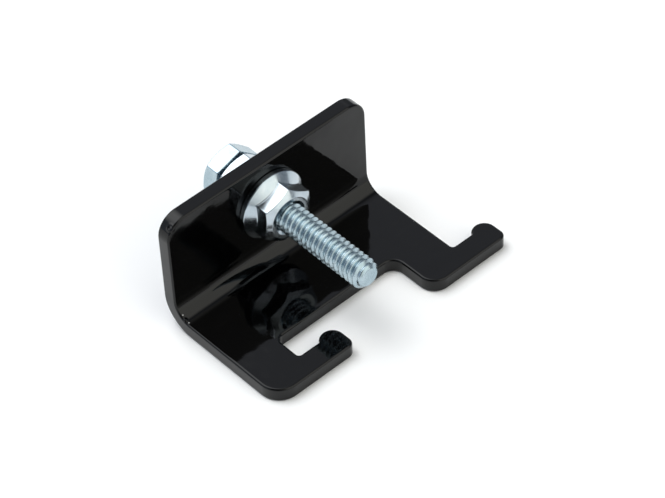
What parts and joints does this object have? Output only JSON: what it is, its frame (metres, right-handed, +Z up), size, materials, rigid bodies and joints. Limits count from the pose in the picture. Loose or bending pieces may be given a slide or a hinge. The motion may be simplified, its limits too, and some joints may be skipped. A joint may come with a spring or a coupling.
{
  "type": "shutter dog holdback",
  "caption": "Bent black plate bracket with side-facing hooks at its foot and a hex bolt, held by flange nuts, that feeds through its upright flange.",
  "frame": {"origin": "middle of the underside of the whole object's box at rest", "axes": "+X along the bend, the way both hooks point; +Y from the hooks to the bolt's head; +Z up"},
  "size_m": [0.0604, 0.0424, 0.0273],
  "materials": {
    "black_powder_coat": "gloss black coating with slight orange peel",
    "bright_zinc": "bright blue-white zinc plating"
  },
  "bodies": {
    "bracket": {"hook_bracket": "black_powder_coat"},
    "front_nut": {"front_flange_nut": "bright_zinc"},
    "rear_nut": {"rear_flange_nut": "bright_zinc"},
    "bolt": {"hex_bolt": "bright_zinc"}
  },
  "joints": [
    {"name": "front_nut_turn", "type": "hinge", "parent": "bracket", "child": "front_nut", "pos_m": [-0.0054, 0.0047, 0.0168], "axis": [0, -1, 0], "range_deg": [0, 5760]},
    {"name": "rear_nut_turn", "type": "hinge", "parent": "bracket", "child": "rear_nut", "pos_m": [-0.0054, 0.0141, 0.0168], "axis": [0, -1, 0], "range_deg": [0, 5760]},
    {"name": "bolt_feed", "type": "slide", "parent": "bracket", "child": "bolt", "axis": [0, 1, 0], "range_m": [0, 0.02033]}
  ],
  "couplings": [
    {"joint": "rear_nut_turn", "follows": "front_nut_turn", "ratio": 1},
    {"joint": "bolt_feed", "follows": "front_nut_turn", "m_per_rad": 0.00020213}
  ]
}
